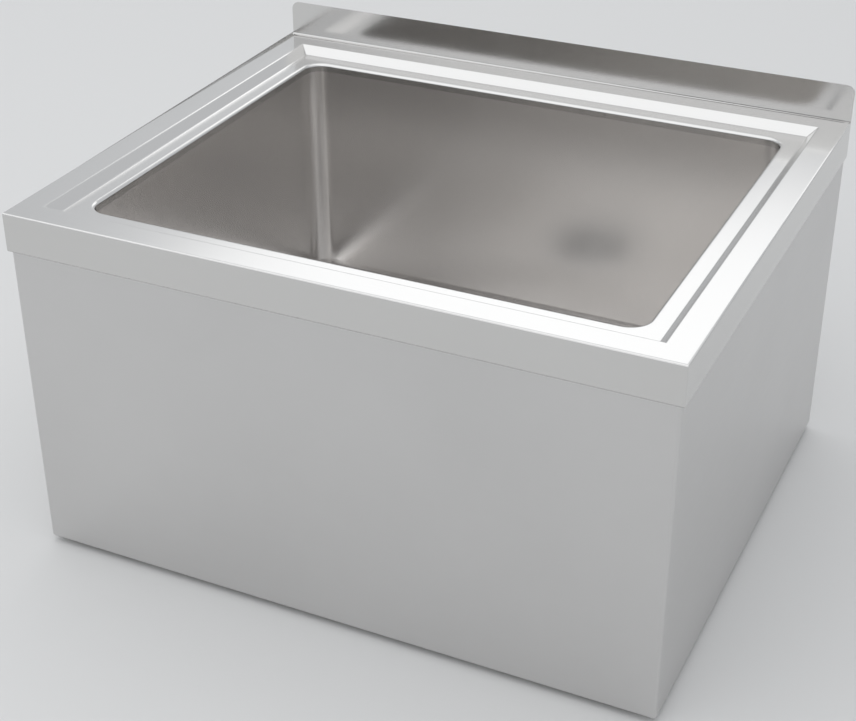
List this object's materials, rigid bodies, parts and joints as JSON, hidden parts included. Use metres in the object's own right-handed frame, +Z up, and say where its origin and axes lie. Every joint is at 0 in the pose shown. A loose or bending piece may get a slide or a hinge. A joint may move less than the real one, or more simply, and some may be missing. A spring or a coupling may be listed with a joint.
{
  "type": "utility laundry sink",
  "caption": "Low box-shaped utility sink in folded stainless steel with a recessed deck, rear upstand, deep rounded bowl, lift-out strainer basket and levelling feet.",
  "frame": {"origin": "on the floor, at the middle of the footprint", "axes": "+X to the right of someone who stands in front of the sink, +Y towards the wall, +Z up"},
  "size_m": [0.6, 0.5, 0.376],
  "materials": {
    "satin_steel": "fine satin polish",
    "bowl_steel": "fine satin polish, ground at the corners",
    "panel_steel": "dull brushed",
    "rail_steel": "mill finish",
    "bracket_steel": "galvanised",
    "zinc_steel": "bright zinc plate",
    "zinc_alloy": "cast, tumbled",
    "polished_steel": "polished stainless steel",
    "black_rubber": "matt",
    "slip_ring_fibre": "fibre card",
    "white_plastic": "moulded",
    "black_nylon": "moulded",
    "butyl_pad": "matt, embossed"
  },
  "bodies": {
    "sink": {"worktop": "satin_steel", "bowl": "bowl_steel", "casing": "panel_steel", "rear_top_rail": "rail_steel", "rear_bottom_rail": "rail_steel", "strainer_body": "polished_steel", "flange_gasket": "black_rubber", "under_washer": "black_rubber", "slip_ring": "slip_ring_fibre", "ring_nut": "zinc_alloy", "tail_washer": "black_rubber", "tailpiece": "white_plastic", "coupling_nut": "white_plastic", "bonding_tag": "rail_steel", "sound_pad_front": "butyl_pad", "sound_pad_rear": "butyl_pad", "foot_bracket_front_left": "bracket_steel", "foot_weld_nut_front_left": "zinc_steel", "foot_lock_nut_front_left": "zinc_steel", "foot_bracket_front_right": "bracket_steel", "foot_weld_nut_front_right": "zinc_steel", "foot_lock_nut_front_right": "zinc_steel", "foot_bracket_rear_right": "bracket_steel", "foot_weld_nut_rear_right": "zinc_steel", "foot_lock_nut_rear_right": "zinc_steel", "foot_bracket_rear_left": "bracket_steel", "foot_weld_nut_rear_left": "zinc_steel", "foot_lock_nut_rear_left": "zinc_steel"},
    "strainer_basket": {"basket": "polished_steel", "basket_knob": "polished_steel", "basket_stopper": "black_rubber"},
    "pad_front_left": {"foot_pad_front_left": "black_nylon"},
    "stem_front_left": {"foot_stem_front_left": "zinc_steel"},
    "pad_front_right": {"foot_pad_front_right": "black_nylon"},
    "stem_front_right": {"foot_stem_front_right": "zinc_steel"},
    "pad_rear_right": {"foot_pad_rear_right": "black_nylon"},
    "stem_rear_right": {"foot_stem_rear_right": "zinc_steel"},
    "pad_rear_left": {"foot_pad_rear_left": "black_nylon"},
    "stem_rear_left": {"foot_stem_rear_left": "zinc_steel"}
  },
  "joints": [
    {"name": "basket_lift", "type": "slide", "parent": "sink", "child": "strainer_basket", "axis": [0, 0, 1], "range_m": [0, 0.34]},
    {"name": "foot_height_front_left", "type": "slide", "parent": "sink", "child": "pad_front_left", "axis": [0, 0, -1], "range_m": [-0.003, 0.022]},
    {"name": "foot_turn_front_left", "type": "hinge", "parent": "pad_front_left", "child": "stem_front_left", "pos_m": [-0.2566, -0.2066, 0.03], "axis": [0, 0, -1], "range_deg": [-725, 5290]},
    {"name": "foot_height_front_right", "type": "slide", "parent": "sink", "child": "pad_front_right", "axis": [0, 0, -1], "range_m": [-0.003, 0.022]},
    {"name": "foot_turn_front_right", "type": "hinge", "parent": "pad_front_right", "child": "stem_front_right", "pos_m": [0.2566, -0.2066, 0.03], "axis": [0, 0, -1], "range_deg": [-725, 5290]},
    {"name": "foot_height_rear_right", "type": "slide", "parent": "sink", "child": "pad_rear_right", "axis": [0, 0, -1], "range_m": [-0.003, 0.022]},
    {"name": "foot_turn_rear_right", "type": "hinge", "parent": "pad_rear_right", "child": "stem_rear_right", "pos_m": [0.2566, 0.2078, 0.03], "axis": [0, 0, -1], "range_deg": [-725, 5290]},
    {"name": "foot_height_rear_left", "type": "slide", "parent": "sink", "child": "pad_rear_left", "axis": [0, 0, -1], "range_m": [-0.003, 0.022]},
    {"name": "foot_turn_rear_left", "type": "hinge", "parent": "pad_rear_left", "child": "stem_rear_left", "pos_m": [-0.2566, 0.2078, 0.03], "axis": [0, 0, -1], "range_deg": [-725, 5290]}
  ],
  "couplings": [
    {"joint": "foot_turn_front_left", "follows": "foot_height_front_left", "rad_per_m": 4188.8},
    {"joint": "foot_turn_front_right", "follows": "foot_height_front_right", "rad_per_m": 4188.8},
    {"joint": "foot_turn_rear_right", "follows": "foot_height_rear_right", "rad_per_m": 4188.8},
    {"joint": "foot_turn_rear_left", "follows": "foot_height_rear_left", "rad_per_m": 4188.8}
  ]
}
